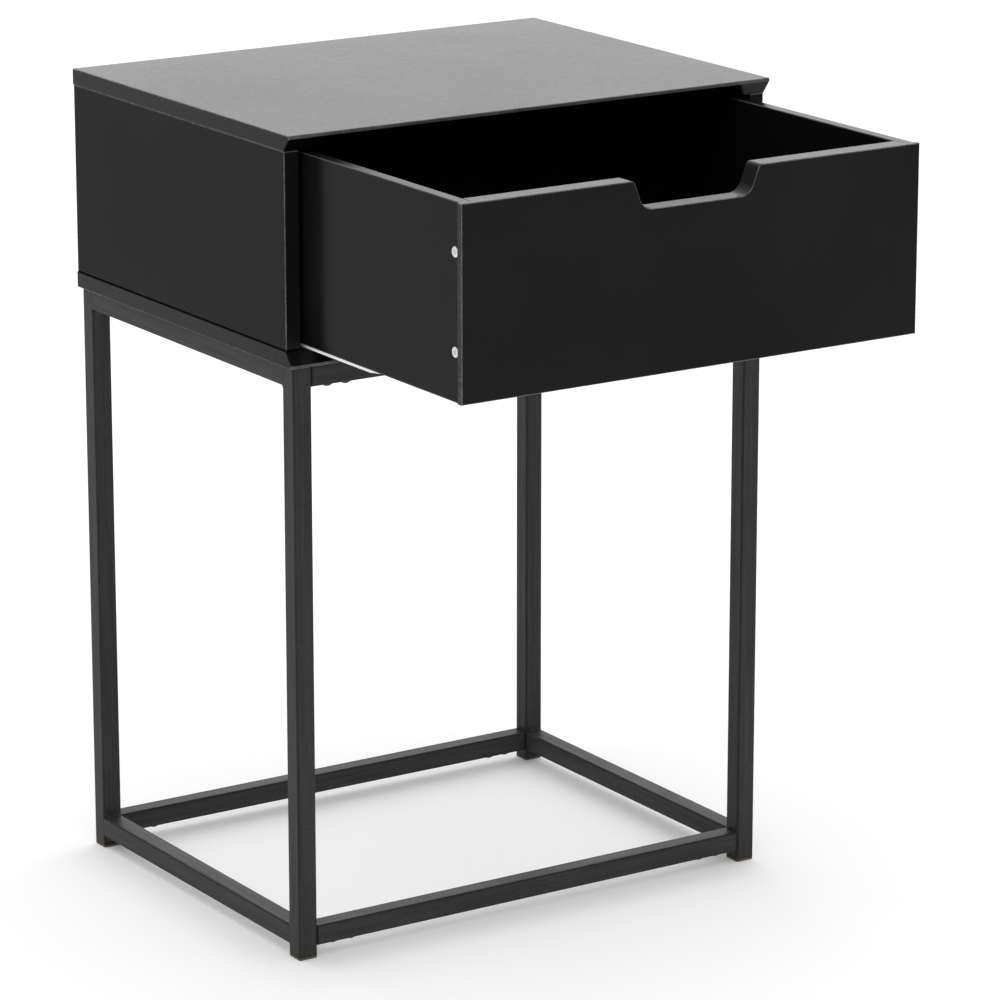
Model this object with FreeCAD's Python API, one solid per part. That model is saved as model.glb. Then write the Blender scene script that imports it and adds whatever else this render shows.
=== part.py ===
import FreeCAD, Part
import math
import os

# Side table with one drawer: a lacquered board cabinet on a welded and bolted square tube frame.
# Millimetres. Origin: centre of the footprint, on the floor. +Z up, the drawer opens towards -Y.

V = FreeCAD.Vector
AXIS_X = V(1, 0, 0)
AXIS_Z = V(0, 0, 1)

TOUCH = 0.01                 # two points nearer than this are one place
OVERSHOOT = 1.0              # how far a cutter passes the face it opens
FACING = 0.9                 # least part of a direction along an axis that it follows

# Driving dimensions of the whole table
TABLE_HEIGHT = 600.0
FRAME_WIDTH = 400.0
FRAME_DEPTH = 305.0
CABINET_FLOOR = 436.0        # underside of the cabinet, top of the steel frame

# Steel frame
TUBE = 15.0
TUBE_WALL = 1.2
TUBE_RADIUS = 1.6
LOW_RAIL_BOTTOM = 9.0
FOOT_PLATE = 2.0
FOOT_ROUND = 0.8
FOOT_PLUG = 9.0
FOOT_PLUG_GAP = 0.1
FOOT_PLUG_CHAMFER = 1.0
WELD_UNDER_RAIL = 4.5
WELD_OVER_RAIL = 2.0
RAIL_SEAM = 0.5              # gap where a bolted rail meets a leg
TONGUE_LENGTH = 45.0
TONGUE_GAP = 0.2
BOLT_FIRST = 16.5            # first bolt, from the leg
BOLT_PITCH = 15.0
BOLTS_PER_END = 2
BOLT_RADIUS = 2.5
BOLT_HEAD_RADIUS = 4.75
BOLT_HEAD = 2.75
BOLT_SHANK = 11.0
BOLT_SOCKET = 3.0            # across flats
BOLT_SOCKET_DEPTH = 1.5
HOLE_GAP = 0.1

# Cabinet boards
SLAB = 12.0
SLAB_SIDE_OVERHANG = 3.0     # beyond the steel frame, each side
SLAB_END_OVERHANG = 2.5      # beyond the steel frame, front and back
SLAB_LIP = 2.4               # upright front edge left by the bevel
BEVEL_DEPTH = 7.2
EDGE_ROUND = 0.8
SIDE_BOARD = 12.0
SIDE_INSET = 0.5             # side board behind the slab's end and back edge
BACK_BOARD = 3.0
BACK_INSET = 1.0
DOWEL_RADIUS = 3.0
DOWEL_IN_SLAB = 8.0
DOWEL_IN_SIDE = 16.0
DOWEL_SPREAD = 100.0
SCREW_SPREAD = 90.0          # frame to cabinet screws, from the middle
SCREW_RADIUS = 2.0
SCREW_HEAD_RADIUS = 4.0
SCREW_HEAD = 2.0
SCREW_BITE = 9.0
DRIVER_HOLE_RADIUS = 5.0

# Drawer
DRAWER_WIDTH = 377.0
DRAWER_HEIGHT = 135.6
DRAWER_LENGTH = 295.0
DRAWER_OPEN = 203.0          # how far out it stands at rest
DRAWER_TRAVEL = 212.0
FRONT_BOARD = 15.0
FRONT_LIP = 5.0
FRONT_OVERHANG = 1.75        # of the front's lip past each side
BOX_BOARD = 9.0
BACK_TOP = 118.0
BOTTOM_PLY = 5.0
BOTTOM_LIFT = 8.0            # underside of the drawer's bottom, from the drawer's underside
GROOVE = 4.5
JOINT_GAP = 0.1
GLIDE = 1.9
GLIDE_WIDTH = 8.5
GLIDE_START = 104.0          # from the drawer's face
GLIDE_TAPER = 14.0
GLIDE_REAR_GAP = 4.0
RUN_CLEARANCE = 0.3

# Finger notch in the drawer's front
NOTCH_DEPTH = 20.6
NOTCH_HALF_TOP = 51.6
NOTCH_HALF_BOTTOM = 43.7
NOTCH_BOTTOM_RADIUS = 11.0
NOTCH_TOP_RADIUS = 4.0

# Screws that hold the drawer's sides
SIDE_SCREW_SET = 11.0        # from the face of the front
SIDE_SCREW_LEVELS = (34.0, 101.6)
BACK_SCREW_LEVELS = (34.0, 95.0)
SIDE_SCREW_RADIUS = 1.8
SIDE_SCREW_LENGTH = 26.0
SIDE_SCREW_HEAD_RADIUS = 3.8
SIDE_SCREW_HEAD = 1.6
SIDE_SCREW_PROUD = 0.4

# Blocks that limit the drawer's travel
STOP_WIDTH = 24.0
STOP_THICK = 12.0
STOP_SPREAD = 120.0
OPEN_STOP_HEIGHT = 7.5       # low enough to stay under the drawer's bottom
REAR_STOP_HEIGHT = 20.0

# Worked out
HALF_W = FRAME_WIDTH / 2
HALF_D = FRAME_DEPTH / 2
SLAB_HALF_W = HALF_W + SLAB_SIDE_OVERHANG
SLAB_HALF_D = HALF_D + SLAB_END_OVERHANG
CAVITY_FLOOR = CABINET_FLOOR + SLAB
CAVITY_TOP = TABLE_HEIGHT - SLAB
CABINET_FRONT = -SLAB_HALF_D + BEVEL_DEPTH
SIDE_OUTER = SLAB_HALF_W - SIDE_INSET
SIDE_INNER = SIDE_OUTER - SIDE_BOARD
SIDE_BACK = SLAB_HALF_D - SIDE_INSET
BACK_FACE = SLAB_HALF_D - BACK_INSET - BACK_BOARD
TOP_RAIL_BOTTOM = CABINET_FLOOR - TUBE
DRAWER_FLOOR = CAVITY_FLOOR + RUN_CLEARANCE + GLIDE
DRAWER_FACE = CABINET_FRONT - DRAWER_OPEN
BOX_OUTER = DRAWER_WIDTH / 2 - FRONT_OVERHANG
BOX_INNER = BOX_OUTER - BOX_BOARD

SIDES = {"left": -1, "right": 1}
ENDS = {"front": -1, "back": 1}


def block(x, y, z):
    """A box from three (low, high) pairs."""
    size = V(x[1] - x[0], y[1] - y[0], z[1] - z[0])
    return Part.makeBox(size.x, size.y, size.z, V(x[0], y[0], z[0]))


def span(a, b):
    return (min(a, b), max(a, b))


def rounded_square(side, radius):
    """A closed wire of a rounded square about the origin, in the XY plane."""
    square = Part.makeBox(side, side, side, V(-side / 2, -side / 2, 0))
    uprights = [e for e in square.Edges if abs(e.tangentAt(e.FirstParameter).z) > FACING]
    rounded = square.makeFillet(radius, uprights)
    bottom = [f for f in rounded.Faces if f.normalAt(0, 0).z < -FACING]
    return bottom[0].OuterWire


def rounded_bar(side, radius, length):
    """A solid square bar along +Z from the origin."""
    return Part.Face(rounded_square(side, radius)).extrude(V(0, 0, length))


def tube(length):
    """A square tube along +Z from the origin, open at both ends."""
    bore = rounded_bar(TUBE - 2 * TUBE_WALL, TUBE_RADIUS - TUBE_WALL, length)
    return rounded_bar(TUBE, TUBE_RADIUS, length).cut(bore)


def tube_between(start, end):
    """A square tube from one point of its centre line to another, along X, Y or Z."""
    run = end.sub(start)
    shape = tube(run.Length)
    shape.Placement = FreeCAD.Placement(start, FreeCAD.Rotation(AXIS_Z, run))
    return shape


def cylinder(radius, length, base, direction=AXIS_Z):
    return Part.makeCylinder(radius, length, base, direction)


def prism(outline, run):
    """A solid of a closed outline swept along a straight run."""
    return Part.Face(outline).extrude(run)


def polygon(points):
    return Part.makePolygon(points + [points[0]])


def lies_on(edge, axis, value):
    """Whether an edge lies in the plane where one coordinate, x, y or z, has a value."""
    points = [v.Point for v in edge.Vertexes] + [edge.CenterOfMass]
    return all(abs(getattr(p, axis) - value) < TOUCH for p in points)


def eased(shape, edges):
    return shape.makeFillet(EDGE_ROUND, edges)


def save(shape, name):
    shape.exportStep("parts/" + name + ".step")


# ---------------------------------------------------------------- steel frame

def leg_centre(side, end):
    return V(SIDES[side] * (HALF_W - TUBE / 2), ENDS[end] * (HALF_D - TUBE / 2), 0)


def leg(side, end):
    foot = leg_centre(side, end) + V(0, 0, FOOT_PLATE)
    return tube_between(foot, foot + V(0, 0, CABINET_FLOOR - FOOT_PLATE))


def foot_cap(side, end):
    """A plate under the leg, with a plug up inside it."""
    plate = rounded_bar(TUBE, TUBE_RADIUS, FOOT_PLATE)
    plate = plate.makeFillet(FOOT_ROUND, [e for e in plate.Edges if lies_on(e, "z", 0)])
    half = TUBE / 2 - TUBE_WALL - FOOT_PLUG_GAP
    plug = block((-half, half), (-half, half), (FOOT_PLATE, FOOT_PLATE + FOOT_PLUG))
    not_seated = [e for e in plug.Edges if not lies_on(e, "z", FOOT_PLATE)]
    plug = plug.makeChamfer(FOOT_PLUG_CHAMFER, not_seated)
    cap = plate.fuse(plug).removeSplitter()
    cap.translate(leg_centre(side, end))
    return cap


def rail_level(level):
    low = {"low": LOW_RAIL_BOTTOM, "top": TOP_RAIL_BOTTOM}[level]
    return low + TUBE / 2


def side_rail(side, level):
    """A rail between the front and back legs, its ends cut to the legs' rounded arrises.

    The upper ones are drilled for the cabinet's screws, with a wider hole below for the driver.
    """
    x = leg_centre(side, "front").x
    reach = HALF_D - TUBE + TUBE_RADIUS
    z = rail_level(level)
    rail = tube_between(V(x, -reach, z), V(x, reach, z))
    for end in ENDS:
        post = rounded_bar(TUBE, TUBE_RADIUS, TABLE_HEIGHT)
        post.translate(leg_centre(side, end))
        rail = rail.cut(post)
    if level == "top":
        for y in (-SCREW_SPREAD, SCREW_SPREAD):
            rail = rail.cut(cylinder(SCREW_RADIUS + HOLE_GAP, TUBE, V(x, y, z)))
            rail = rail.cut(cylinder(DRIVER_HOLE_RADIUS, TUBE, V(x, y, z - TUBE)))
    return rail


def bolt_places(side, end):
    """Where the two bolts stand at one end of a cross rail."""
    centre = leg_centre(side, end)
    inner = SIDES[side] * (HALF_W - TUBE)
    steps = [BOLT_FIRST + i * BOLT_PITCH for i in range(BOLTS_PER_END)]
    return [V(inner - SIDES[side] * step, centre.y, 0) for step in steps]


def cross_rail(end, level):
    """A rail between the left and right frames, drilled from below for its bolts."""
    reach = HALF_W - TUBE - RAIL_SEAM
    y = leg_centre("left", end).y
    z = rail_level(level)
    rail = tube_between(V(-reach, y, z), V(reach, y, z))
    for side in SIDES:
        for place in bolt_places(side, end):
            start = place + V(0, 0, z - TUBE / 2)
            rail = rail.cut(cylinder(BOLT_RADIUS + HOLE_GAP, TUBE / 2, start))
    return rail


def rail_tongue(side, end, level):
    """The bar welded to a leg, that a cross rail slips over."""
    half = TUBE / 2 - TUBE_WALL - TONGUE_GAP
    inner = SIDES[side] * (HALF_W - TUBE)
    y = leg_centre(side, end).y
    z = rail_level(level)
    run = span(inner, inner - SIDES[side] * TONGUE_LENGTH)
    bar = block(run, (y - half, y + half), (z - half, z + half))
    for place in bolt_places(side, end):
        start = place + V(0, 0, z - TUBE / 2)
        bar = bar.cut(cylinder(BOLT_RADIUS + HOLE_GAP, TUBE, start))
    return bar


def hexagon(across_flats, height):
    """A six-sided bar along +Z from the origin."""
    corner = across_flats / math.sqrt(3)
    angles = [k * math.pi / 3 for k in range(6)]
    points = [V(corner * math.cos(a), corner * math.sin(a), 0) for a in angles]
    return prism(polygon(points), V(0, 0, height))


def button_bolt():
    """A button head bolt that points up, with its head below the origin."""
    crown_radius = (BOLT_HEAD_RADIUS ** 2 + BOLT_HEAD ** 2) / (2 * BOLT_HEAD)
    ball = Part.makeSphere(crown_radius, V(0, 0, crown_radius - BOLT_HEAD))
    head = ball.common(cylinder(BOLT_HEAD_RADIUS, BOLT_HEAD, V(0, 0, -BOLT_HEAD)))
    socket = hexagon(BOLT_SOCKET, BOLT_SOCKET_DEPTH)
    socket.translate(V(0, 0, -BOLT_HEAD))
    shank = cylinder(BOLT_RADIUS, BOLT_SHANK, V(0, 0, 0))
    return head.cut(socket).fuse(shank)


def rail_bolts(side, end, level):
    """The two bolts at one end of a cross rail."""
    under = rail_level(level) - TUBE / 2
    bolts = []
    for place in bolt_places(side, end):
        bolt = button_bolt()
        bolt.translate(place + V(0, 0, under))
        bolts.append(bolt)
    return Part.makeCompound(bolts)


def weld_bead(size, x, corner_y, corner_z, out_y, out_z):
    """A hollow fillet in the corner of a leg and a side rail, across the tube's flat."""
    flat = TUBE / 2 - TUBE_RADIUS
    axis_y = corner_y + out_y * size
    axis_z = corner_z + out_z * size
    body = block((x - flat, x + flat), span(corner_y, axis_y), span(corner_z, axis_z))
    return body.cut(cylinder(size, TUBE, V(x - TUBE / 2, axis_y, axis_z), AXIS_X))


def frame_welds(side):
    """The six weld beads of one side frame."""
    x = leg_centre(side, "front").x
    beads = []
    for end in ENDS.values():
        y = end * (HALF_D - TUBE)
        beads.append(weld_bead(WELD_UNDER_RAIL, x, y, TOP_RAIL_BOTTOM, -end, -1))
        beads.append(weld_bead(WELD_OVER_RAIL, x, y, LOW_RAIL_BOTTOM + TUBE, -end, 1))
        beads.append(weld_bead(WELD_UNDER_RAIL, x, y, LOW_RAIL_BOTTOM, -end, -1))
    return Part.makeCompound(beads)


def make_frame():
    for side in SIDES:
        for end in ENDS:
            save(leg(side, end), side + "_" + end + "_leg")
            save(foot_cap(side, end), side + "_" + end + "_foot_cap")
            for level in ("top", "low"):
                name = side + "_" + end + "_" + level
                save(rail_tongue(side, end, level), name + "_tongue")
                save(rail_bolts(side, end, level), name + "_bolts")
        for level in ("top", "low"):
            save(side_rail(side, level), side + "_" + level + "_side_rail")
        save(frame_welds(side), side + "_frame_welds")
    for end in ENDS:
        for level in ("top", "low"):
            save(cross_rail(end, level), end + "_" + level + "_cross_rail")


# -------------------------------------------------------------------- cabinet

def slab_outline(lip_z, bevel_z, far_z):
    """The slab's section in the YZ plane: an upright lip, then a bevel back to the cabinet's front."""
    return polygon([
        V(0, -SLAB_HALF_D, far_z),
        V(0, -SLAB_HALF_D, lip_z),
        V(0, CABINET_FRONT, bevel_z),
        V(0, SLAB_HALF_D, bevel_z),
        V(0, SLAB_HALF_D, far_z),
    ])


def slab(lip_z, bevel_z, far_z):
    """A slab across the table's width, every arris eased."""
    board = prism(slab_outline(lip_z, bevel_z, far_z), V(2 * SLAB_HALF_W, 0, 0))
    board.translate(V(-SLAB_HALF_W, 0, 0))
    return eased(board, board.Edges)


def dowel_places(side):
    x = SIDES[side] * (SIDE_INNER + SIDE_BOARD / 2)
    return [V(x, y, 0) for y in (-DOWEL_SPREAD, DOWEL_SPREAD)]


def dowel_holes(board, slab_plane, into_slab):
    """Blind holes in a slab, from its face against the side boards."""
    depth = DOWEL_IN_SLAB + HOLE_GAP
    for side in SIDES:
        for place in dowel_places(side):
            start = place + V(0, 0, slab_plane)
            board = board.cut(cylinder(DOWEL_RADIUS + HOLE_GAP, depth, start, AXIS_Z * into_slab))
    return board


def frame_screw_places():
    rows = (-SCREW_SPREAD, SCREW_SPREAD)
    return [V(leg_centre(side, "front").x, y, 0) for side in SIDES for y in rows]


def top_slab():
    board = slab(TABLE_HEIGHT - SLAB_LIP, CAVITY_TOP, TABLE_HEIGHT)
    return dowel_holes(board, CAVITY_TOP, 1)


def bottom_slab():
    board = slab(CABINET_FLOOR + SLAB_LIP, CAVITY_FLOOR, CABINET_FLOOR)
    for place in frame_screw_places():
        board = board.cut(cylinder(SCREW_RADIUS, SCREW_BITE, place + V(0, 0, CABINET_FLOOR)))
    return dowel_holes(board, CAVITY_FLOOR, -1)


def side_board(side):
    x = span(SIDES[side] * SIDE_INNER, SIDES[side] * SIDE_OUTER)
    board = block(x, (CABINET_FRONT, SIDE_BACK), (CAVITY_FLOOR, CAVITY_TOP))
    outer = SIDES[side] * SIDE_OUTER
    soft = [e for e in board.Edges if lies_on(e, "x", outer) or is_front_upright(e)]
    board = eased(board, soft)
    depth = DOWEL_IN_SIDE + HOLE_GAP
    for place in dowel_places(side):
        for start in (CAVITY_FLOOR, CAVITY_TOP - depth):
            board = board.cut(cylinder(DOWEL_RADIUS + HOLE_GAP, depth, place + V(0, 0, start)))
    return board


def is_front_upright(edge):
    """Whether an edge stands upright on the cabinet's front."""
    upright = abs(edge.tangentAt(edge.FirstParameter).z) > FACING
    return upright and lies_on(edge, "y", CABINET_FRONT)


def back_board():
    return block(
        (-SIDE_INNER, SIDE_INNER),
        (BACK_FACE, BACK_FACE + BACK_BOARD),
        (CAVITY_FLOOR, CAVITY_TOP),
    )


def cabinet_dowels():
    """Two dowels at the top and two at the bottom of each side board."""
    length = DOWEL_IN_SLAB + DOWEL_IN_SIDE
    starts = (CAVITY_FLOOR - DOWEL_IN_SLAB, CAVITY_TOP - DOWEL_IN_SIDE)
    pins = []
    for side in SIDES:
        for place in dowel_places(side):
            for start in starts:
                pins.append(cylinder(DOWEL_RADIUS, length, place + V(0, 0, start)))
    return Part.makeCompound(pins)


def cabinet_screws():
    """Screws from inside the upper side rails into the bottom slab."""
    seat = CABINET_FLOOR - TUBE_WALL
    screws = []
    for place in frame_screw_places():
        head = cylinder(SCREW_HEAD_RADIUS, SCREW_HEAD, place + V(0, 0, seat - SCREW_HEAD))
        shank = cylinder(SCREW_RADIUS, TUBE_WALL + SCREW_BITE, place + V(0, 0, seat))
        screws.append(head.fuse(shank))
    return Part.makeCompound(screws)


def floor_stop(side, start, end, height):
    """A block on the cabinet's floor between two distances along the drawer's run."""
    x = SIDES[side] * STOP_SPREAD
    across = (x - STOP_WIDTH / 2, x + STOP_WIDTH / 2)
    return block(across, (start, end), (CAVITY_FLOOR, CAVITY_FLOOR + height))


def open_stop(side):
    """The block, under the drawer's bottom, that its back meets when it is pulled out."""
    back_board_face = CABINET_FRONT + DRAWER_LENGTH - BOX_BOARD
    end = back_board_face - DRAWER_TRAVEL - RUN_CLEARANCE
    return floor_stop(side, end - STOP_THICK, end, OPEN_STOP_HEIGHT)


def rear_stop(side):
    """The block that the closed drawer meets."""
    start = CABINET_FRONT + DRAWER_LENGTH + RUN_CLEARANCE
    return floor_stop(side, start, BACK_FACE, REAR_STOP_HEIGHT)


def make_cabinet():
    save(top_slab(), "top_slab")
    save(bottom_slab(), "bottom_slab")
    save(back_board(), "back_board")
    save(cabinet_dowels(), "cabinet_dowels")
    save(cabinet_screws(), "cabinet_screws")
    for side in SIDES:
        save(side_board(side), side + "_side_board")
        save(open_stop(side), side + "_open_stop")
        save(rear_stop(side), side + "_rear_stop")


# --------------------------------------------------------------------- drawer
# Drawn with its face at y = 0 and its underside at z = 0, then put in place.

DRAWER_PLACE = V(0, DRAWER_FACE, DRAWER_FLOOR)


def placed(shape):
    shape.translate(DRAWER_PLACE)
    return shape


def notch_tool():
    """The finger notch: slanted flanks, round inner corners, reaching above the board."""
    floor = DRAWER_HEIGHT - NOTCH_DEPTH
    above = 2 * NOTCH_TOP_RADIUS
    lean = (NOTCH_HALF_TOP - NOTCH_HALF_BOTTOM) / NOTCH_DEPTH
    high = DRAWER_HEIGHT + above
    half_high = NOTCH_HALF_TOP + lean * above
    points = [
        V(-half_high, -OVERSHOOT, high),
        V(-NOTCH_HALF_BOTTOM, -OVERSHOOT, floor),
        V(NOTCH_HALF_BOTTOM, -OVERSHOOT, floor),
        V(half_high, -OVERSHOOT, high),
    ]
    tool = prism(polygon(points), V(0, FRONT_BOARD + 2 * OVERSHOOT, 0))
    corners = [e for e in tool.Edges if is_cross_edge(e, floor, NOTCH_HALF_BOTTOM)]
    return tool.makeFillet(NOTCH_BOTTOM_RADIUS, corners)


def is_cross_edge(edge, level, half):
    """Whether an edge runs through the front's thickness at one height and distance from the middle."""
    mirrored = lies_on(edge, "x", half) or lies_on(edge, "x", -half)
    return mirrored and lies_on(edge, "z", level)


def side_screw_places(side):
    """Each screw of one drawer side: its place, and how high it stands."""
    x = SIDES[side] * BOX_OUTER
    rear = DRAWER_LENGTH - BOX_BOARD / 2
    front = [V(x, SIDE_SCREW_SET, z) for z in SIDE_SCREW_LEVELS]
    return front + [V(x, rear, z) for z in BACK_SCREW_LEVELS]


def side_screw(side, place, slack):
    """A screw that points inwards from a drawer side, or its hole when there is slack."""
    inwards = AXIS_X * -SIDES[side]
    start = place - inwards * SIDE_SCREW_PROUD
    head_length = SIDE_SCREW_HEAD + SIDE_SCREW_PROUD
    head = cylinder(SIDE_SCREW_HEAD_RADIUS + slack, head_length, start, inwards)
    shank = cylinder(SIDE_SCREW_RADIUS + slack, SIDE_SCREW_LENGTH + slack, place, inwards)
    return head.fuse(shank)


def drill_side_screws(board):
    for side in SIDES:
        for place in side_screw_places(side):
            board = board.cut(side_screw(side, place, JOINT_GAP))
    return board


def bottom_panel(gap):
    """The drawer's bottom, set into the four boards around it, or its slot when there is a gap."""
    half = BOX_INNER + GROOVE + gap
    run = (FRONT_BOARD - GROOVE - gap, DRAWER_LENGTH - BOX_BOARD + GROOVE + gap)
    return block((-half, half), run, (BOTTOM_LIFT - gap, BOTTOM_LIFT + BOTTOM_PLY + gap))


def drawer_front():
    half = DRAWER_WIDTH / 2
    lip = block((-half, half), (0, FRONT_LIP), (0, DRAWER_HEIGHT))
    core = block((-BOX_INNER, BOX_INNER), (FRONT_LIP, FRONT_BOARD), (0, DRAWER_HEIGHT))
    board = lip.fuse(core).removeSplitter().cut(notch_tool()).removeSplitter()
    mouth = [e for e in board.Edges if is_cross_edge(e, DRAWER_HEIGHT, NOTCH_HALF_TOP)]
    board = board.makeFillet(NOTCH_TOP_RADIUS, mouth)
    board = eased(board, [e for e in board.Edges if lies_on(e, "y", 0)])
    return drill_side_screws(board.cut(bottom_panel(JOINT_GAP)))


def drawer_side(side):
    x = span(SIDES[side] * BOX_INNER, SIDES[side] * BOX_OUTER)
    board = block(x, (FRONT_LIP, DRAWER_LENGTH), (0, DRAWER_HEIGHT))
    board = eased(board, [e for e in board.Edges if is_long_top_edge(e)])
    return drill_side_screws(board.cut(bottom_panel(JOINT_GAP)))


def is_long_top_edge(edge):
    """Whether an edge runs front to back along the top of the drawer."""
    return abs(edge.tangentAt(edge.FirstParameter).y) > FACING and lies_on(edge, "z", DRAWER_HEIGHT)


def drawer_back():
    run = (DRAWER_LENGTH - BOX_BOARD, DRAWER_LENGTH)
    board = block((-BOX_INNER, BOX_INNER), run, (0, BACK_TOP))
    return drill_side_screws(board.cut(bottom_panel(JOINT_GAP)))


def drawer_glide(side):
    """A strip under a drawer side, thinned to nothing at its front end."""
    x = span(SIDES[side] * BOX_OUTER, SIDES[side] * (BOX_OUTER - GLIDE_WIDTH))
    end = DRAWER_LENGTH - GLIDE_REAR_GAP
    outline = polygon([
        V(x[0], GLIDE_START, 0),
        V(x[0], GLIDE_START + GLIDE_TAPER, -GLIDE),
        V(x[0], end, -GLIDE),
        V(x[0], end, 0),
    ])
    return prism(outline, V(x[1] - x[0], 0, 0))


def drawer_side_screws(side):
    return Part.makeCompound([side_screw(side, place, 0) for place in side_screw_places(side)])


def make_drawer():
    save(placed(drawer_front()), "drawer_front")
    save(placed(drawer_back()), "drawer_back")
    save(placed(bottom_panel(0)), "drawer_bottom")
    for side in SIDES:
        save(placed(drawer_side(side)), "drawer_" + side + "_side")
        save(placed(drawer_glide(side)), "drawer_" + side + "_glide")
        save(placed(drawer_side_screws(side)), "drawer_" + side + "_screws")


os.makedirs("parts", exist_ok=True)
make_frame()
make_cabinet()
make_drawer()
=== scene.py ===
import math

import bmesh
import bpy
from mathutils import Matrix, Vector


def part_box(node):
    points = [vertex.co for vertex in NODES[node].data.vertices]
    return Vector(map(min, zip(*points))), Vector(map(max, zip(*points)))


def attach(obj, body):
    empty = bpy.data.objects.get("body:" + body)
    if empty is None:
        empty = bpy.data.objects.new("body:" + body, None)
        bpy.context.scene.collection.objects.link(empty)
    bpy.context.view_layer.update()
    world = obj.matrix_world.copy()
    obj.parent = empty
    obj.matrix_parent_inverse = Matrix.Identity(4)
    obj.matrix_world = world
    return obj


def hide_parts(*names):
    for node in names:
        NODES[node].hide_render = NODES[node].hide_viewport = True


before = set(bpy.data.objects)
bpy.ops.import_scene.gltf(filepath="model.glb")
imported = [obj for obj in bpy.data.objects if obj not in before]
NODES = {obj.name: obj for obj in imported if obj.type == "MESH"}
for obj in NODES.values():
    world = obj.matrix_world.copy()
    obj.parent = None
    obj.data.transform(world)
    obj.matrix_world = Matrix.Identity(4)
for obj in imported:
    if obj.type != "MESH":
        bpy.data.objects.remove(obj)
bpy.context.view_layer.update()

MM = 0.001

# ------------------------------------------------------------------ the frame's measures

FRONT_LOW, FRONT_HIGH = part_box("drawer_front")
SLAB_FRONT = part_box("top_slab")[0].y
SIDES = {"left": -1, "right": 1}
ENDS = {"front": -1, "back": 1}


# ------------------------------------------------------------------ node graph helpers

SHIFT_WAY = (1.0, 0.37, 0.71)
BAND_FADE = 1.3              # where a band of heights has faded out, in half widths


class Tree:
    """Builds the node tree of a material or a world by short calls."""

    def __init__(self, owner):
        owner.use_nodes = True
        self.tree = owner.node_tree
        self.tree.nodes.clear()

    def node(self, kind, **settings):
        made = self.tree.nodes.new(kind)
        for key, value in settings.items():
            setattr(made, key, value)
        return made

    def link(self, a, b):
        self.tree.links.new(a, b)

    def feed(self, socket, value):
        """Links an output into a socket, or sets the socket's own value."""
        if isinstance(value, bpy.types.NodeSocket):
            self.link(value, socket)
        else:
            socket.default_value = value

    def parts(self, vector):
        """A vector's x, y and z."""
        made = self.node("ShaderNodeSeparateXYZ")
        self.link(vector, made.inputs[0])
        return made.outputs

    def spread(self, value, low, high, to_low=0.0, to_high=1.0, ease="LINEAR"):
        """A value moved from one range to another, and held within it."""
        made = self.node("ShaderNodeMapRange", interpolation_type=ease)
        self.feed(made.inputs["Value"], value)
        made.inputs["From Min"].default_value = low
        made.inputs["From Max"].default_value = high
        made.inputs["To Min"].default_value = to_low
        made.inputs["To Max"].default_value = to_high
        return made.outputs["Result"]

    def math(self, kind, a, b=0.0):
        made = self.node("ShaderNodeMath", operation=kind)
        self.feed(made.inputs[0], a)
        self.feed(made.inputs[1], b)
        return made.outputs[0]


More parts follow.
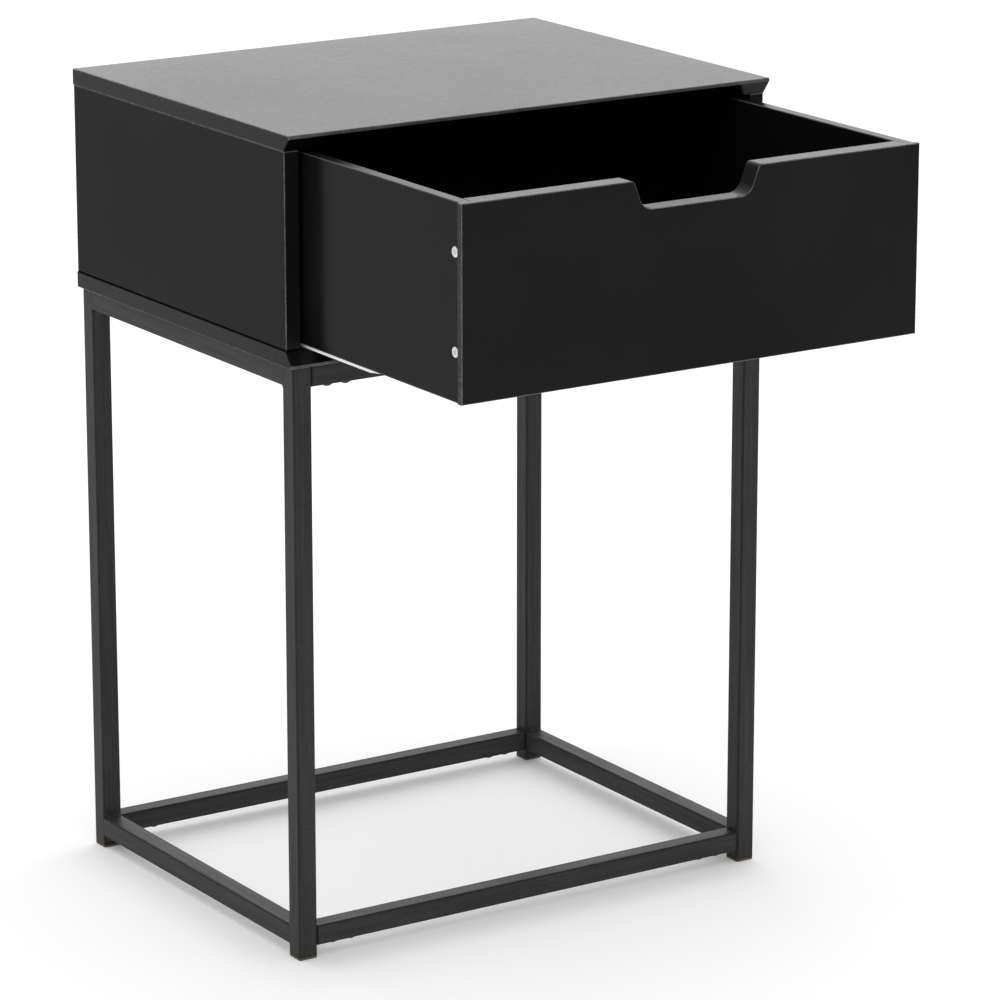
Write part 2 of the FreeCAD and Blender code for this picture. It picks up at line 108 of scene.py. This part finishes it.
class Graph(Tree):
    """Builds one Principled material."""

    def __init__(self, name):
        self.material = bpy.data.materials.new(name)
        super().__init__(self.material)
        out = self.node("ShaderNodeOutputMaterial")
        self.shader = self.node("ShaderNodeBsdfPrincipled")
        self.link(self.shader.outputs["BSDF"], out.inputs["Surface"])

    def place(self, shift=0.0):
        """A point's place in the object's frame, shifted so that each board has its own pattern."""
        made = self.node("ShaderNodeMapping")
        self.link(self.node("ShaderNodeTexCoord").outputs["Object"], made.inputs["Vector"])
        made.inputs["Location"].default_value = [shift * part for part in SHIFT_WAY]
        return made.outputs["Vector"]

    def facing(self):
        """The size of the surface direction along x, y and z, each 0 to 1."""
        size = self.node("ShaderNodeVectorMath", operation="ABSOLUTE")
        self.link(self.node("ShaderNodeTexCoord").outputs["Normal"], size.inputs[0])
        return self.parts(size.outputs[0])

    def tilt(self):
        """The surface direction along z, -1 facing down to 1 facing up."""
        return self.parts(self.node("ShaderNodeTexCoord").outputs["Normal"])[2]

    def near_level(self, level, half):
        """1 within a band of heights, 0 beyond it."""
        height = self.parts(self.place())[2]
        off = self.math("ABSOLUTE", self.math("SUBTRACT", height, level))
        return self.spread(off, half, half * BAND_FADE, 1.0, 0.0)

    def stretch(self, vector, scale):
        """A place scaled along x, y and z, which draws a pattern out where the scale is small."""
        made = self.node("ShaderNodeMapping")
        self.feed(made.inputs["Vector"], vector)
        made.inputs["Scale"].default_value = scale
        return made.outputs["Vector"]

    def noise(self, vector, scale, detail=3.0, rough=0.5, twist=0.0):
        made = self.node("ShaderNodeTexNoise")
        self.feed(made.inputs["Vector"], vector)
        made.inputs["Scale"].default_value = scale
        made.inputs["Detail"].default_value = detail
        made.inputs["Roughness"].default_value = rough
        made.inputs["Distortion"].default_value = twist
        return made.outputs["Fac"]

    def blend(self, factor, a, b):
        made = self.node("ShaderNodeMix", data_type="RGBA")
        self.feed(made.inputs["Factor"], factor)
        self.feed(made.inputs["A"], a)
        self.feed(made.inputs["B"], b)
        return made.outputs["Result"]

    def bump(self, height, strength, distance, under=None):
        made = self.node("ShaderNodeBump")
        self.feed(made.inputs["Height"], height)
        made.inputs["Strength"].default_value = strength
        made.inputs["Distance"].default_value = distance
        if under is not None:
            self.link(under, made.inputs["Normal"])
        return made.outputs["Normal"]

    def from_arris(self, low, high):
        """How far a point on a box's surface lies from the box's nearest arris, in metres."""
        away = self.node("ShaderNodeVectorMath", operation="SUBTRACT")
        self.feed(away.inputs[0], self.place())
        away.inputs[1].default_value = (low + high) / 2
        flat = self.node("ShaderNodeVectorMath", operation="ABSOLUTE")
        self.feed(flat.inputs[0], away.outputs[0])
        gap = self.node("ShaderNodeVectorMath", operation="SUBTRACT")
        gap.inputs[0].default_value = (high - low) / 2
        self.feed(gap.inputs[1], flat.outputs[0])
        x, y, z = self.parts(gap.outputs[0])
        smaller = self.math("MINIMUM", x, y)
        larger = self.math("MAXIMUM", x, y)
        return self.math("MAXIMUM", smaller, self.math("MINIMUM", larger, z))

    def set(self, **values):
        """Feeds the shader's sockets, by their names with _ for each space."""
        for key, value in values.items():
            self.feed(self.shader.inputs[key.replace("_", " ")], value)


def grey(value, warm=0.0):
    """A near neutral colour of one brightness, a little warm or cool."""
    return (value * (1 + warm), value, value * (1 - warm), 1.0)


# ------------------------------------------------------------------ materials

# Lacquer on board
DARK_LACQUER, LIGHT_LACQUER = grey(0.0060, -0.02), grey(0.0100, -0.02)
UNDERSIDE_SHADE = grey(0.0012)         # painted shade on faces that look down
HAIRLINE_COLOUR = grey(0.05)
# pale colour of the painted arris and lip highlights, and of chips
HIGHLIGHT_AND_CHIP_COLOUR = grey(0.19, 0.02)
COOL_SHEEN = (1.0, 0.965, 1.04, 1.0)
HAIRLINE_HALF = 0.004                # of the noise's range
HAIRLINE_STRENGTH = 0.3
# painted highlight along the arrises: its reach and blur
HIGHLIGHT_NARROW, HIGHLIGHT_WIDE = 0.35 * MM, 0.95 * MM
HIGHLIGHT_BLUR = 0.15 * MM
HIGHLIGHT_AND_CHIP_STRENGTH = 0.85
HIGHLIGHT_AND_CHIP_DULLING = 0.15
# painted shade in the seam where the side boards stand on the bottom slab
SEAM_SHADE_COLOUR = grey(0.0004)
SEAM_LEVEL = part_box("bottom_slab")[1].z
SEAM_HALF = 0.7 * MM
SEAM_ROUGHNESS = 0.95
CABINET_GLOSS, DRAWER_GLOSS = 0.24, 0.22
SLAB_SHEEN, SIDE_SHEEN, BOARD_SHEEN = 0.080, 0.040, 0.055
# strength of the painted arris highlight on each kind of board
CABINET_HIGHLIGHT, FRONT_HIGHLIGHT, DRAWER_HIGHLIGHT = 0.9, 0.8, 0.6
FADE_FROM, FADE_TO = 2 * MM, 3 * MM  # how far in from a front or an end its wear and painted highlight fade out

# Coat on steel
DARK_COAT, LIGHT_COAT = grey(0.0380, -0.01), grey(0.0560, -0.01)
DEEP_COAT = grey(0.0170, 0.01)
DRAWN_OUT = 0.03                     # scale along a tube of the streaks left by drawing it
COAT_SHEEN = 0.085
ARRIS_CORE, ARRIS_EDGE = 0.6 * MM, 1.6 * MM

# Small parts
DULL_ZINC, BRIGHT_ZINC = grey(0.66, -0.01), grey(0.90, 0.01)
ZINC_METAL = 0.35
CLEAN_NYLON, GRIMY_NYLON = grey(0.88, 0.01), grey(0.45, 0.05)
NYLON_DEPTH = 0.05
DARK_FOOT, LIGHT_FOOT = (0.060, 0.042, 0.030, 1), (0.110, 0.080, 0.058, 1)
DARK_FIBRE, LIGHT_FIBRE, FIBRE_PAINT = grey(0.009, 0.03), grey(0.024, 0.05), grey(0.018)
DARK_BEECH, LIGHT_BEECH = (0.42, 0.27, 0.14, 1), (0.62, 0.44, 0.25, 1)


def hairlines(g, place):
    """A few long fine scratches, in patches."""
    wander = g.noise(g.stretch(place, (4, 26, 26)), scale=34, detail=2, rough=0.4, twist=0.6)
    off_line = g.math("ABSOLUTE", g.math("SUBTRACT", wander, 0.5))
    patches = g.spread(g.noise(place, scale=13, detail=2), 0.56, 0.66)
    return g.math("MULTIPLY", g.spread(off_line, 0.0, HAIRLINE_HALF, 1.0, 0.0), patches)


def painted_arris_highlights(g, place, low, high, highlight):
    """A painted highlight along a board's arrises, ragged in width and strength."""
    reach = g.spread(g.noise(place, scale=900, detail=3, rough=0.6), 0.3, 0.75, HIGHLIGHT_NARROW, HIGHLIGHT_WIDE)
    past = g.math("SUBTRACT", g.from_arris(low, high), reach)
    strength = g.spread(g.noise(place, scale=60, detail=3, rough=0.6), 0.38, 0.62, 0.55 * highlight, highlight)
    return g.math("MULTIPLY", g.spread(past, -HIGHLIGHT_BLUR, HIGHLIGHT_BLUR, 1.0, 0.0), strength)


def painted_seam_shade(g):
    """Painted shade in the line where the side boards stand on the bottom slab, on upright and rounded faces.
    """
    beside = g.spread(g.math("ABSOLUTE", g.tilt()), 0.8, 0.97, 1.0, 0.0)
    return g.math("MULTIPLY", g.near_level(SEAM_LEVEL, SEAM_HALF), beside)


def lacquer(name, low, high, seed, gloss, sheen, highlight, extra_wear_and_highlight=None):
    """Black lacquer on board: clouds of gloss, a rolled texture, hairlines, painted highlights along the
    arrises and painted shade in the seam.
    """
    g = Graph(name)
    place = g.place(seed)
    cloud = g.noise(place, scale=6, detail=4, rough=0.55)
    fine = g.noise(place, scale=2600, detail=2, rough=0.5)
    roll = g.noise(place, scale=170, detail=3, rough=0.6)
    highlight_and_chips = painted_arris_highlights(g, place, low, high, highlight)
    if extra_wear_and_highlight:
        highlight_and_chips = g.math("MAXIMUM", highlight_and_chips, extra_wear_and_highlight(g, place))
    seam_shade = painted_seam_shade(g)
    paint = g.blend(g.spread(cloud, 0.35, 0.7), DARK_LACQUER, LIGHT_LACQUER)
    # painted shade: darker on faces that look down
    paint = g.blend(g.spread(g.tilt(), -0.5, -0.2, 0.85, 0.0), paint, UNDERSIDE_SHADE)
    paint = g.blend(g.math("MULTIPLY", hairlines(g, place), HAIRLINE_STRENGTH), paint, HAIRLINE_COLOUR)
    # painted highlight along the arrises, with chips where the extra marks add them
    paint = g.blend(g.math("MULTIPLY", highlight_and_chips, HIGHLIGHT_AND_CHIP_STRENGTH), paint, HIGHLIGHT_AND_CHIP_COLOUR)
    # painted shade in the seam line
    g.set(Base_Color=g.blend(seam_shade, paint, SEAM_SHADE_COLOUR))
    smudge = g.spread(cloud, 0.3, 0.75, gloss - 0.02, gloss + 0.03)
    rough = g.math("ADD", smudge, g.spread(roll, 0.3, 0.7, -0.015, 0.02))
    rough = g.math("ADD", rough, g.math("MULTIPLY", highlight_and_chips, HIGHLIGHT_AND_CHIP_DULLING))
    g.set(Roughness=g.math("MAXIMUM", rough, g.math("MULTIPLY", seam_shade, SEAM_ROUGHNESS)))
    skin = g.bump(fine, strength=0.03, distance=0.2 * MM)
    g.set(Normal=g.bump(roll, strength=0.03, distance=0.6 * MM, under=skin))
    g.shader.inputs["Specular IOR Level"].default_value = sheen
    g.shader.inputs["Specular Tint"].default_value = COOL_SHEEN
    return g.material


def front_wear_and_highlight(g, place):
    """On the drawer front: wear of thin paint and chips on the lip's ends, and a painted highlight on the
    rounded arris round the face.
    """
    facing_x, facing_y, _ = g.facing()
    x, _, z = g.parts(g.place())
    chips = g.noise(g.stretch(place, (1, 1, 0.45)), scale=820, detail=3, rough=0.65)
    height = g.spread(z, FRONT_LOW.z, FRONT_HIGH.z)
    chip = g.spread(g.math("SUBTRACT", chips, g.math("MULTIPLY", height, 0.06)), 0.53, 0.64, 0.13, 0.6)
    at_end = g.spread(g.math("ABSOLUTE", x), FRONT_HIGH.x - FADE_TO, FRONT_HIGH.x - FADE_FROM)
    ends = g.math("MULTIPLY", g.math("MULTIPLY", g.spread(facing_x, 0.7, 0.95), at_end), chip)
    # painted highlight on the rounded arris round the face, in patches
    rounded = g.math("MULTIPLY", g.spread(facing_y, 0.25, 0.5), g.spread(facing_y, 0.85, 0.97, 1.0, 0.0))
    patches = g.spread(g.noise(place, scale=300, detail=3, rough=0.6), 0.35, 0.6, 0.45, 1.0)
    return g.math("MAXIMUM", ends, g.math("MULTIPLY", rounded, patches))


def lip_highlight_and_wear(g, place):
    """On a slab: a painted highlight on the upright lip along its front, with chip specks, and flecks on its
    ends.
    """
    facing_x, facing_y, facing_z = g.facing()
    y = g.parts(g.place())[1]
    # painted highlight on the upright lip, with chip specks
    on_front = g.spread(y, SLAB_FRONT + FADE_FROM, SLAB_FRONT + FADE_TO, 1.0, 0.0)
    on_lip = g.math("MULTIPLY", g.spread(facing_y, 0.3, 0.93), on_front)
    upright = g.math("MULTIPLY", on_lip, g.spread(facing_z, 0.3, 0.5, 1.0, 0.0))
    speck = g.spread(g.noise(place, scale=700, detail=3, rough=0.65), 0.5, 0.7, 0.0, 0.45)
    lip_highlight_level = g.spread(g.noise(place, scale=25, detail=2), 0.35, 0.65, 0.38, 0.62)
    fleck = g.spread(g.noise(place, scale=430, detail=4, rough=0.65), 0.40, 0.72, 0.01, 0.08)
    ends = g.math("MULTIPLY", g.spread(facing_x, 0.8, 0.95), fleck)
    return g.math("MAXIMUM", g.math("MULTIPLY", upright, g.math("ADD", lip_highlight_level, speck)), ends)


def powder_coat(name, low, high, seed):
    """Satin coat on a steel tube: a pebbled skin, streaks along the tube, and dark rounded arrises."""
    g = Graph(name)
    place = g.place(seed)
    cloud = g.noise(place, scale=12, detail=4, rough=0.6)
    pebble = g.noise(place, scale=1500, detail=3, rough=0.55)
    wave = g.noise(place, scale=240, detail=2, rough=0.5)
    fleck = g.spread(g.noise(place, scale=480, detail=4, rough=0.7), 0.36, 0.66, 0.0, 0.6)
    size = high - low
    run = max(range(3), key=lambda axis: size[axis])
    drawn = [DRAWN_OUT if axis == run else 1.0 for axis in range(3)]
    streak = g.noise(g.stretch(place, drawn), scale=330, detail=3, rough=0.6)
    arris = g.spread(g.from_arris(low, high), ARRIS_CORE, ARRIS_EDGE, 1.0, 0.0)
    arris = g.math("MULTIPLY", arris, g.spread(g.noise(place, scale=90), 0.3, 0.7, 0.35, 0.9))
    coat = g.blend(g.math("ADD", g.spread(cloud, 0.3, 0.75, 0.0, 0.4), fleck), DARK_COAT, LIGHT_COAT)
    coat = g.blend(g.spread(streak, 0.40, 0.64, 0.0, 0.38), coat, DEEP_COAT)
    g.set(Base_Color=g.blend(arris, coat, DEEP_COAT))
    satin = g.math("ADD", g.spread(cloud, 0.3, 0.7, 0.38, 0.46), g.spread(pebble, 0.3, 0.7, -0.03, 0.03))
    g.set(Roughness=g.math("ADD", satin, g.spread(streak, 0.35, 0.65, -0.03, 0.03)))
    skin = g.bump(pebble, strength=0.10, distance=0.2 * MM)
    g.set(Normal=g.bump(wave, strength=0.05, distance=0.8 * MM, under=skin))
    g.shader.inputs["Specular IOR Level"].default_value = COAT_SHEEN
    return g.material


def zinc(name):
    """Bright zinc on a screw, with small dull patches."""
    g = Graph(name)
    place = g.place()
    patch = g.noise(place, scale=900, detail=3, rough=0.6)
    g.set(Base_Color=g.blend(g.spread(patch, 0.35, 0.7), DULL_ZINC, BRIGHT_ZINC))
    g.set(Roughness=g.spread(patch, 0.3, 0.7, 0.26, 0.42))
    g.set(Normal=g.bump(g.noise(place, scale=3500, detail=2), strength=0.08, distance=0.1 * MM))
    g.shader.inputs["Metallic"].default_value = ZINC_METAL
    return g.material


def nylon(name):
    """White moulded nylon with a little grime along its run."""
    g = Graph(name)
    streak = g.noise(g.stretch(g.place(), (60, 2, 60)), scale=12, detail=3, rough=0.6)
    grime = g.spread(streak, 0.55, 0.85, 0.0, 0.3)
    g.set(Base_Color=g.blend(grime, CLEAN_NYLON, GRIMY_NYLON))
    g.set(Roughness=g.spread(streak, 0.3, 0.7, 0.32, 0.48))
    g.set(Normal=g.bump(streak, strength=0.1, distance=0.3 * MM))
    g.shader.inputs["Subsurface Weight"].default_value = NYLON_DEPTH
    return g.material


def foot_plastic(name):
    """Dark brown moulded plastic, faintly mottled and scuffed."""
    g = Graph(name)
    mottle = g.noise(g.place(), scale=420, detail=4, rough=0.6)
    g.set(Base_Color=g.blend(g.spread(mottle, 0.3, 0.7), DARK_FOOT, LIGHT_FOOT))
    g.set(Roughness=g.spread(mottle, 0.3, 0.7, 0.5, 0.66))
    g.set(Normal=g.bump(mottle, strength=0.2, distance=0.3 * MM))
    return g.material


def hardboard(name):
    """Black hardboard: pressed fibre flecks under thin paint."""
    g = Graph(name)
    place = g.place()
    fibre = g.noise(g.stretch(place, (1.0, 1.0, 2.6)), scale=260, detail=5, rough=0.7, twist=0.8)
    cloud = g.noise(place, scale=9)
    board = g.blend(g.spread(fibre, 0.35, 0.7), DARK_FIBRE, LIGHT_FIBRE)
    g.set(Base_Color=g.blend(g.spread(cloud, 0.4, 0.8, 0.0, 0.4), board, FIBRE_PAINT))
    g.set(Roughness=g.spread(fibre, 0.3, 0.7, 0.48, 0.62))
    g.set(Normal=g.bump(fibre, strength=0.16, distance=0.4 * MM))
    return g.material


def beech(name):
    """Plain beech with its grain along a dowel."""
    g = Graph(name)
    ring = g.noise(g.stretch(g.place(), (9, 9, 1)), scale=90, detail=4, rough=0.6, twist=0.4)
    g.set(Base_Color=g.blend(g.spread(ring, 0.3, 0.7), DARK_BEECH, LIGHT_BEECH))
    g.set(Roughness=g.spread(ring, 0.3, 0.7, 0.5, 0.66))
    g.set(Normal=g.bump(ring, strength=0.1, distance=0.3 * MM))
    return g.material


CLEAR_OF_HIGHLIGHT = 10 * MM


def arris_box(node):
    """A node's box, drawn out past the arrises that get no painted highlight, in a seam or inside the
    cabinet.
    """
    low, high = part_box(node)
    low, high = low.copy(), high.copy()
    if node.endswith("_side_board"):
        low.z -= CLEAR_OF_HIGHLIGHT
        inner = high if node.startswith("left") else low
        inner.x -= SIDES[node.split("_")[0]] * CLEAR_OF_HIGHLIGHT
    if node == "bottom_slab":
        high.z += CLEAR_OF_HIGHLIGHT
    return low, high


def dress(node, material):
    """Gives a CAD node its material, in every slot."""
    piece = NODES[node]
    if not piece.data.materials:
        piece.data.materials.append(material)
    for slot in piece.material_slots:
        slot.material = material


SEED_STEP = 1.7
INNER_BOARDS = ("drawer_back", "drawer_bottom")
DRAWER_SIDES = ("drawer_left_side", "drawer_right_side")


def material_for(node, seed):
    """The material of one CAD node, by what the node is."""
    low, high = arris_box(node)
    board = (node + "_paint", low, high, seed)
    if node.endswith("_slab"):
        return lacquer(*board, CABINET_GLOSS, SLAB_SHEEN, CABINET_HIGHLIGHT, lip_highlight_and_wear)
    if node.endswith(("_side_board", "_stop")):
        return lacquer(*board, CABINET_GLOSS, SIDE_SHEEN, CABINET_HIGHLIGHT)
    if node == "drawer_front":
        return lacquer(*board, DRAWER_GLOSS, SLAB_SHEEN, FRONT_HIGHLIGHT, front_wear_and_highlight)
    if node in INNER_BOARDS:
        return lacquer(*board, DRAWER_GLOSS, BOARD_SHEEN, 0.0)
    if node in DRAWER_SIDES:
        return lacquer(*board, DRAWER_GLOSS, BOARD_SHEEN, DRAWER_HIGHLIGHT)
    if node.endswith("_screws"):
        return zinc(node + "_zinc")
    if node.endswith("_glide"):
        return nylon(node + "_nylon")
    if node.endswith("_foot_cap"):
        return foot_plastic(node + "_plastic")
    if node == "back_board":
        return hardboard(node + "_fibre")
    if node == "cabinet_dowels":
        return beech(node + "_beech")
    return powder_coat(node + "_coat", low, high, SIDES.get(node.split("_")[0], 0))


for number, node_name in enumerate(sorted(NODES)):
    dress(node_name, material_for(node_name, SEED_STEP * number))


# ------------------------------------------------------------------ pieces in mesh code

def piece_from(mesh_maker, name, body, slot, material, *hidden):
    """Makes one piece, and says what it rides on and replaces; it takes the given material."""
    shape = bmesh.new()
    mesh_maker(shape)
    bmesh.ops.recalc_face_normals(shape, faces=shape.faces)
    mesh = bpy.data.meshes.new(name)
    shape.to_mesh(mesh)
    shape.free()
    for face in mesh.polygons:
        face.use_smooth = True
    mesh.materials.append(material)
    piece = bpy.data.objects.new(name, mesh)
    bpy.context.scene.collection.objects.link(piece)
    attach(piece, body)
    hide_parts(*hidden)


# Side screws of the drawer
SCREW_RADIUS = 3.8 * MM
SCREW_DEPTH = 1.5 * MM
SCREW_CROWN = 0.36 * MM
RIM_ROLL = 0.35 * MM
ROLL_MIDDLE = 0.3
FIRST_TURN, NEXT_TURN = 0.5, 1.3     # how each head's recess is turned, in radians
UPPER_BACK_DROP = 6.6 * MM           # of the upper back screw below the upper front one
CROSS_REACH = 2.1 * MM
CROSS_HALF = 0.42 * MM
CROSS_DEPTH = 1.1 * MM
CROSS_WALL = 0.25 * MM
HEAD_RINGS = 22
HEAD_PARTS = 72


def inside_step(distance, wall):
    """1 well inside an edge, 0 outside it, eased over the wall's width."""
    t = min(1.0, max(0.0, distance / wall + 0.5))
    return t * t * (3 - 2 * t)


def head_height(u, v):
    """How far a screw head's face stands out at one point of it."""
    far = math.hypot(u, v) / SCREW_RADIUS
    crown = SCREW_CROWN * (1 - far * far)
    arms = [min(CROSS_REACH - abs(a), CROSS_HALF - abs(b)) for a, b in ((u, v), (v, u))]
    return crown - CROSS_DEPTH * inside_step(max(arms), CROSS_WALL)


def add_screw_head(shape, centre, outward, turn):
    """A crowned head with a cross recess, its rim rolled over, facing along +X or -X."""
    face_radius = SCREW_RADIUS - RIM_ROLL
    rings = [(face_radius * ring / HEAD_RINGS, None) for ring in range(1, HEAD_RINGS + 1)]
    rings.append((SCREW_RADIUS - RIM_ROLL * ROLL_MIDDLE, -RIM_ROLL * ROLL_MIDDLE))
    rings.append((SCREW_RADIUS, -RIM_ROLL))
    rings.append((SCREW_RADIUS, -SCREW_DEPTH))
    loops = []
    for radius, depth in rings:
        loop = []
        for part in range(HEAD_PARTS):
            angle = 2 * math.pi * part / HEAD_PARTS
            out = depth
            if depth is None:
                out = head_height(radius * math.cos(angle), radius * math.sin(angle))
            y = radius * math.cos(angle + turn)
            z = radius * math.sin(angle + turn)
            loop.append(shape.verts.new(centre + Vector((outward * out, y, z))))
        loops.append(loop)
    middle = shape.verts.new(centre + Vector((outward * head_height(0, 0), 0, 0)))
    close_fan(shape, loops[0], middle)
    for inner, outer in zip(loops, loops[1:]):
        bridge(shape, inner, outer)
    floor = shape.verts.new(centre - Vector((outward * SCREW_DEPTH, 0, 0)))
    close_fan(shape, loops[-1], floor)


def close_fan(shape, loop, middle):
    """Closes a loop with triangles to one point."""
    for a, b in zip(loop, loop[1:] + loop[:1]):
        shape.faces.new((middle, a, b))


def bridge(shape, inner, outer):
    """Joins two loops of as many points with a band of faces."""
    for k in range(len(inner)):
        after = (k + 1) % len(inner)
        shape.faces.new((inner[k], inner[after], outer[after], outer[k]))


def make_side_screws(side):
    """The heads of one drawer side's four screws."""
    node = "drawer_" + side + "_screws"
    low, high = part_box(node)
    board_low, board_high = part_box("drawer_" + side + "_side")
    face = board_low.x if side == "left" else board_high.x
    front, back = low.y + SCREW_RADIUS, high.y - SCREW_RADIUS
    under, over = low.z + SCREW_RADIUS, high.z - SCREW_RADIUS
    places = ((front, under), (front, over), (back, under), (back, over - UPPER_BACK_DROP))

    def heads(shape):
        for number, (y, z) in enumerate(places):
            turn = FIRST_TURN + NEXT_TURN * number
            add_screw_head(shape, Vector((face, y, z)), SIDES[side], turn)

    piece_from(heads, node + "_heads", "drawer", "zinc_screw", zinc(node + "_head_zinc"), node)


# Weld beads of the frame
BEAD_UNDER, BEAD_OVER = 4.6 * MM, 2.2 * MM
BEAD_HALF_RUN = 6.1 * MM
BEAD_PITCH = 2.3 * MM
BEAD_STEPS = 48
BEAD_PARTS = 12
BEAD_SINK = 0.15 * MM                # how far a bead bites into the tubes
BEAD_SEED_STEP = 2.7
FLATNESS = 0.8                       # 0 for a round bead, 1 for a flat one
RIPPLE, RIPPLE_CURVE = 0.07, 0.9
LONG_LUMP, SHORT_LUMP = 0.10, 0.07   # of the bead's size
LONG_WAVE, SHORT_WAVE = 410, 1130    # radians a metre
END_TAPER, END_POWER = 0.45, 5


def bead_radius(size, angle, along, seed):
    """A bead's thickness at one angle round the corner and one place along it."""
    flat = 1.0 / (math.cos(angle) + math.sin(angle)) ** FLATNESS
    curve = RIPPLE_CURVE * math.sin(angle * 2)
    ripple = RIPPLE * math.sin(2 * math.pi * along / BEAD_PITCH + curve + seed)
    lump = LONG_LUMP * math.sin(along * LONG_WAVE + seed * 2.1)
    lump += SHORT_LUMP * math.sin(along * SHORT_WAVE + angle * 2 + seed)
    ends = 1 - END_TAPER * (abs(along) / BEAD_HALF_RUN) ** END_POWER
    return size * (flat + ripple + lump) * ends


def add_bead(shape, x, y, z, out_y, out_z, size, seed):
    """One bead across a tube, in the corner that opens towards (out_y, out_z)."""
    loops = []
    for step in range(BEAD_STEPS + 1):
        along = BEAD_HALF_RUN * (2 * step / BEAD_STEPS - 1)
        loop = [shape.verts.new((x + along, y - out_y * BEAD_SINK, z - out_z * BEAD_SINK))]
        for part in range(BEAD_PARTS + 1):
            angle = math.pi / 2 * part / BEAD_PARTS
            radius = bead_radius(size, angle, along, seed)
            away = radius * math.cos(angle), radius * math.sin(angle)
            if part == 0:
                away = away[0], -BEAD_SINK
            if part == BEAD_PARTS:
                away = -BEAD_SINK, away[1]
            loop.append(shape.verts.new((x + along, y + out_y * away[0], z + out_z * away[1])))
        loops.append(loop)
    for before, after in zip(loops, loops[1:]):
        bridge(shape, before, after)
    shape.faces.new(loops[0])
    shape.faces.new(loops[-1])


def make_frame_welds(side):
    """The six weld beads of one side frame."""
    low_rail, top_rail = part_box(side + "_low_side_rail"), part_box(side + "_top_side_rail")

    def beads(shape):
        for number, end in enumerate(ENDS):
            leg_low, leg_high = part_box(side + "_" + end + "_leg")
            x = (leg_low.x + leg_high.x) / 2
            y = leg_high.y if end == "front" else leg_low.y
            out = -ENDS[end]
            seed = SIDES[side] + BEAD_SEED_STEP * number
            add_bead(shape, x, y, top_rail[0].z, out, -1, BEAD_UNDER, seed)
            add_bead(shape, x, y, low_rail[1].z, out, 1, BEAD_OVER, seed + 1)
            add_bead(shape, x, y, low_rail[0].z, out, -1, BEAD_UNDER, seed + 2)

    node = side + "_frame_welds"
    low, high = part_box(node)
    coat = powder_coat(node + "_bead_coat", low, high, SIDES[side])
    piece_from(beads, node + "_beads", "cabinet", "frame_steel", coat, node)


for side_name in SIDES:
    make_side_screws(side_name)
    make_frame_welds(side_name)


# ------------------------------------------------------------------ floor, light, camera

FLOOR_SIZE = 60.0
DIM_PAPER, BRIGHT_PAPER = grey(0.94), grey(0.97)
PAPER_ROUGHNESS = 0.9
PAPER_GLOW = 0.12
VIEW_TURN = math.radians(-33.113)
BACK_WAY = Vector((-math.sin(VIEW_TURN), math.cos(VIEW_TURN), 0))


def make_floor():
    """A wide level sheet of pale paper."""
    mesh = bpy.data.meshes.new("floor")
    half = FLOOR_SIZE / 2
    corners = [(-half, -half, 0), (half, -half, 0), (half, half, 0), (-half, half, 0)]
    mesh.from_pydata(corners, [], [(0, 1, 2, 3)])
    floor = bpy.data.objects.new("floor", mesh)
    bpy.context.scene.collection.objects.link(floor)
    g = Graph("floor_paper")
    soft = g.noise(g.place(), scale=1.2, detail=2)
    g.set(Base_Color=g.blend(g.spread(soft, 0.3, 0.7), DIM_PAPER, BRIGHT_PAPER))
    g.shader.inputs["Roughness"].default_value = PAPER_ROUGHNESS
    g.shader.inputs["Emission Color"].default_value = grey(1.0)
    g.shader.inputs["Emission Strength"].default_value = PAPER_GLOW
    g.shader.inputs["Specular IOR Level"].default_value = 0.0
    mesh.materials.append(g.material)


AMBIENT, ZENITH, WALL = 0.42, 1.15, 1.85
OVERHEAD_FROM, OVERHEAD_FULL = 0.2, 0.9      # heights on the sky, 0 level to 1 overhead
WALL_TOP, WALL_GONE = 0.45, 0.75
WALL_EDGE, WALL_FULL = 0.3, 0.85             # nearness to straight behind, up to 1


def make_world():
    """An even pale studio, lighter overhead, with a bright white wall low behind the table."""
    world = bpy.data.worlds.new("studio")
    sky = Tree(world)
    way = sky.node("ShaderNodeTexCoord").outputs["Generated"]
    behind = sky.node("ShaderNodeVectorMath", operation="DOT_PRODUCT")
    behind.inputs[1].default_value = BACK_WAY
    sky.link(way, behind.inputs[0])
    height = sky.parts(way)[2]
    overhead = sky.spread(height, OVERHEAD_FROM, OVERHEAD_FULL, AMBIENT, AMBIENT + ZENITH, "SMOOTHSTEP")
    across = sky.spread(behind.outputs["Value"], WALL_EDGE, WALL_FULL, 0.0, WALL, "SMOOTHSTEP")
    up = sky.spread(height, WALL_TOP, WALL_GONE, 1.0, 0.0, "SMOOTHSTEP")
    back = sky.node("ShaderNodeBackground")
    sky.link(sky.math("ADD", overhead, sky.math("MULTIPLY", across, up)), back.inputs["Strength"])
    out = sky.node("ShaderNodeOutputWorld")
    sky.link(back.outputs["Background"], out.inputs["Surface"])
    bpy.context.scene.world = world


CAMERA_PLACE = Vector((-1.8562, -2.9538, 1.2357))
CAMERA_TILT = math.radians(-15.367)
SENSOR_WIDTH = 36
CAMERA_LENS = 4.8434 * SENSOR_WIDTH


def make_camera():
    """The camera at the table's left front, a little above it."""
    data = bpy.data.cameras.new("camera")
    data.sensor_width = SENSOR_WIDTH
    data.lens = CAMERA_LENS
    camera = bpy.data.objects.new("camera", data)
    bpy.context.scene.collection.objects.link(camera)
    camera.location = CAMERA_PLACE
    camera.rotation_euler = (math.pi / 2 + CAMERA_TILT, 0, VIEW_TURN)
    bpy.context.scene.camera = camera


make_floor()
make_world()
make_camera()
bpy.context.scene.view_settings.view_transform = "Standard"
